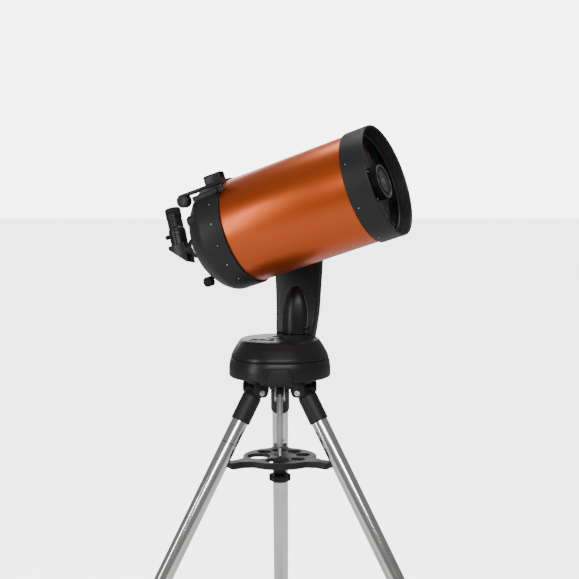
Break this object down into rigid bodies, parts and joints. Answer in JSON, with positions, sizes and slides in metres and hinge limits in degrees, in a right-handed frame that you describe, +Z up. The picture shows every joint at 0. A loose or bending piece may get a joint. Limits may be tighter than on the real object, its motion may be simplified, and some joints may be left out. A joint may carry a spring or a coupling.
{
  "type": "schmidt cassegrain telescope",
  "caption": "Short closed-tube reflecting telescope on a motorised single-arm altazimuth mount, standing on a steel field tripod with an accessory tray.",
  "frame": {"origin": "on the floor, under the middle of the outline", "axes": "+Z up; +Y away from the front foot lug, along the rear leg; the tube points towards +X, a little towards -Y, and up"},
  "size_m": [0.8298, 0.7378, 1.2483],
  "materials": {
    "copper_paint": "metallic copper-orange gloss paint",
    "black_alloy": "satin black painted casting",
    "shell_plastic": "moulded charcoal black, fine grain",
    "black_plastic": "moulded black",
    "stainless": "polished stainless tube",
    "zinc_steel": "zinc plated",
    "tray_enamel": "black powder coat",
    "brass": "machined",
    "rubber": "moulded",
    "glass": "coated optical glass",
    "mirror": "aluminised glass"
  },
  "bodies": {
    "base": {"tripod_head": "black_alloy", "centre_rod": "zinc_steel", "leg_pin_rear": "zinc_steel", "leg_pin_left": "zinc_steel", "leg_pin_right": "zinc_steel", "lower_base_shell": "shell_plastic", "azimuth_gear": "brass"},
    "tray": {"accessory_tray": "tray_enamel"},
    "tray_nut": {"tray_knob": "black_plastic"},
    "mount": {"upper_base_shell": "shell_plastic", "turntable": "black_alloy", "battery_pack": "black_plastic", "azimuth_motor": "zinc_steel", "port_panel": "shell_plastic", "arm_inner_shell": "shell_plastic", "arm_outer_shell": "shell_plastic", "altitude_motor": "zinc_steel"},
    "lid": {"battery_lid": "shell_plastic"},
    "switch": {"power_switch": "black_plastic"},
    "tube_assembly": {"altitude_shaft": "zinc_steel", "altitude_gear": "brass", "saddle": "black_alloy", "dovetail_bar": "black_alloy", "optical_tube": "copper_paint", "front_cell": "black_alloy", "corrector_plate": "glass", "retaining_ring": "black_alloy", "secondary_holder": "black_alloy", "secondary_mirror": "mirror", "baffle_tube": "black_alloy", "rear_cell": "black_alloy", "visual_back": "black_alloy", "finder_bracket": "black_plastic", "finder_body": "black_plastic"},
    "saddle_screw": {"saddle_knob": "black_plastic"},
    "focuser": {"focus_knob": "black_plastic"},
    "mirror_carrier": {"primary_mirror": "mirror"},
    "star_diagonal": {"diagonal_body": "black_alloy"},
    "diagonal_screw": {"diagonal_thumbscrew": "black_plastic"},
    "ocular": {"eyepiece": "black_plastic", "eyecup": "rubber"},
    "finder_switch": {"finder_dial": "black_plastic"},
    "leg_rear": {"leg_sleeve_rear": "black_alloy", "leg_tube_rear": "stainless", "leg_clamp_rear": "black_alloy"},
    "foot_section_rear": {"lower_leg_rear": "stainless", "leg_foot_rear": "rubber"},
    "clamp_screw_rear": {"clamp_knob_rear": "black_plastic"},
    "leg_left": {"leg_sleeve_left": "black_alloy", "leg_tube_left": "stainless", "leg_clamp_left": "black_alloy"},
    "foot_section_left": {"lower_leg_left": "stainless", "leg_foot_left": "rubber"},
    "clamp_screw_left": {"clamp_knob_left": "black_plastic"},
    "leg_right": {"leg_sleeve_right": "black_alloy", "leg_tube_right": "stainless", "leg_clamp_right": "black_alloy"},
    "foot_section_right": {"lower_leg_right": "stainless", "leg_foot_right": "rubber"},
    "clamp_screw_right": {"clamp_knob_right": "black_plastic"}
  },
  "joints": [
    {"name": "azimuth", "type": "hinge", "parent": "base", "child": "mount", "pos_m": [0, -0.10752, 0.746], "axis": [0, 0, 1], "continuous": true},
    {"name": "altitude", "type": "hinge", "parent": "mount", "child": "tube_assembly", "pos_m": [-0.01989, -0.1534, 1.046], "axis": [-0.3978, -0.9175, 0], "range_deg": [-33.66, 61.34]},
    {"name": "lid_lift", "type": "slide", "parent": "mount", "child": "lid", "axis": [0, 0, 1], "range_m": [0, 0.012]},
    {"name": "power_rocker", "type": "hinge", "parent": "mount", "child": "switch", "pos_m": [-0.01949, -0.15248, 0.787], "axis": [-0.9175, 0.3978, 0], "range_deg": [0, 20]},
    {"name": "saddle_knob_turn", "type": "hinge", "parent": "tube_assembly", "child": "saddle_screw", "pos_m": [0.01849, -0.0327, 1.0839], "axis": [-0.2935, 0.1273, 0.9474], "range_deg": [0, 360]},
    {"name": "mirror_slide", "type": "slide", "parent": "tube_assembly", "child": "mirror_carrier", "axis": [0.8692, -0.3769, 0.32], "range_m": [-0.0075, 0.0075]},
    {"name": "focus_turn", "type": "hinge", "parent": "tube_assembly", "child": "focuser", "pos_m": [-0.15259, -0.12529, 0.91456], "axis": [0.8692, -0.3769, 0.32], "range_deg": [-3601, 3601]},
    {"name": "diagonal_turn", "type": "hinge", "parent": "tube_assembly", "child": "star_diagonal", "pos_m": [-0.21808, -0.06747, 0.97305], "axis": [0.8692, -0.3769, 0.32], "range_deg": [-90, 90]},
    {"name": "diagonal_screw_turn", "type": "hinge", "parent": "star_diagonal", "child": "diagonal_screw", "pos_m": [-0.2514, -0.04511, 1.00553], "axis": [0.8692, -0.3769, 0.32], "range_deg": [0, 360]},
    {"name": "eyepiece_pull", "type": "slide", "parent": "star_diagonal", "child": "ocular", "axis": [-0.2239, 0.277, 0.9344], "range_m": [0, 0.03]},
    {"name": "finder_dial_turn", "type": "hinge", "parent": "tube_assembly", "child": "finder_switch", "pos_m": [-0.1355, -0.19919, 1.11238], "axis": [-0.3978, -0.9175, 0], "range_deg": [0, 270]},
    {"name": "tray_slide", "type": "slide", "parent": "base", "child": "tray", "axis": [0, 0, -1], "range_m": [0, 0.45]},
    {"name": "tray_knob_turn", "type": "hinge", "parent": "tray", "child": "tray_nut", "pos_m": [0, -0.10752, 0.48], "axis": [0, 0, 1], "range_deg": [0, 360]},
    {"name": "leg_fold_rear", "type": "hinge", "parent": "base", "child": "leg_rear", "pos_m": [0, -0.04452, 0.675], "axis": [-1, 0, 0], "range_deg": [0, 21.5]},
    {"name": "leg_extend_rear", "type": "slide", "parent": "leg_rear", "child": "foot_section_rear", "axis": [0, 0.5, -0.866], "range_m": [0, 0.35]},
    {"name": "clamp_turn_rear", "type": "hinge", "parent": "leg_rear", "child": "clamp_screw_rear", "pos_m": [0, 0.33629, 0.08542], "axis": [0, 0.866, 0.5], "range_deg": [0, 360]},
    {"name": "leg_fold_left", "type": "hinge", "parent": "base", "child": "leg_left", "pos_m": [-0.05456, -0.13902, 0.675], "axis": [0.5, -0.866, 0], "range_deg": [0, 21.5]},
    {"name": "leg_extend_left", "type": "slide", "parent": "leg_left", "child": "foot_section_left", "axis": [-0.433, -0.25, -0.866], "range_m": [0, 0.35]},
    {"name": "clamp_turn_left", "type": "hinge", "parent": "leg_left", "child": "clamp_screw_left", "pos_m": [-0.38435, -0.32943, 0.08542], "axis": [-0.75, -0.433, 0.5], "range_deg": [0, 360]},
    {"name": "leg_fold_right", "type": "hinge", "parent": "base", "child": "leg_right", "pos_m": [0.05456, -0.13902, 0.675], "axis": [0.5, 0.866, 0], "range_deg": [0, 21.5]},
    {"name": "leg_extend_right", "type": "slide", "parent": "leg_right", "child": "foot_section_right", "axis": [0.433, -0.25, -0.866], "range_m": [0, 0.35]},
    {"name": "clamp_turn_right", "type": "hinge", "parent": "leg_right", "child": "clamp_screw_right", "pos_m": [0.38435, -0.32943, 0.08542], "axis": [0.75, -0.433, 0.5], "range_deg": [0, 360]}
  ],
  "couplings": [
    {"joint": "focus_turn", "follows": "mirror_slide", "rad_per_m": 8377.6},
    {"joint": "leg_fold_rear", "follows": "tray_slide", "rad_per_m": 0.8338},
    {"joint": "leg_fold_left", "follows": "tray_slide", "rad_per_m": 0.8338},
    {"joint": "leg_fold_right", "follows": "tray_slide", "rad_per_m": 0.8338}
  ]
}
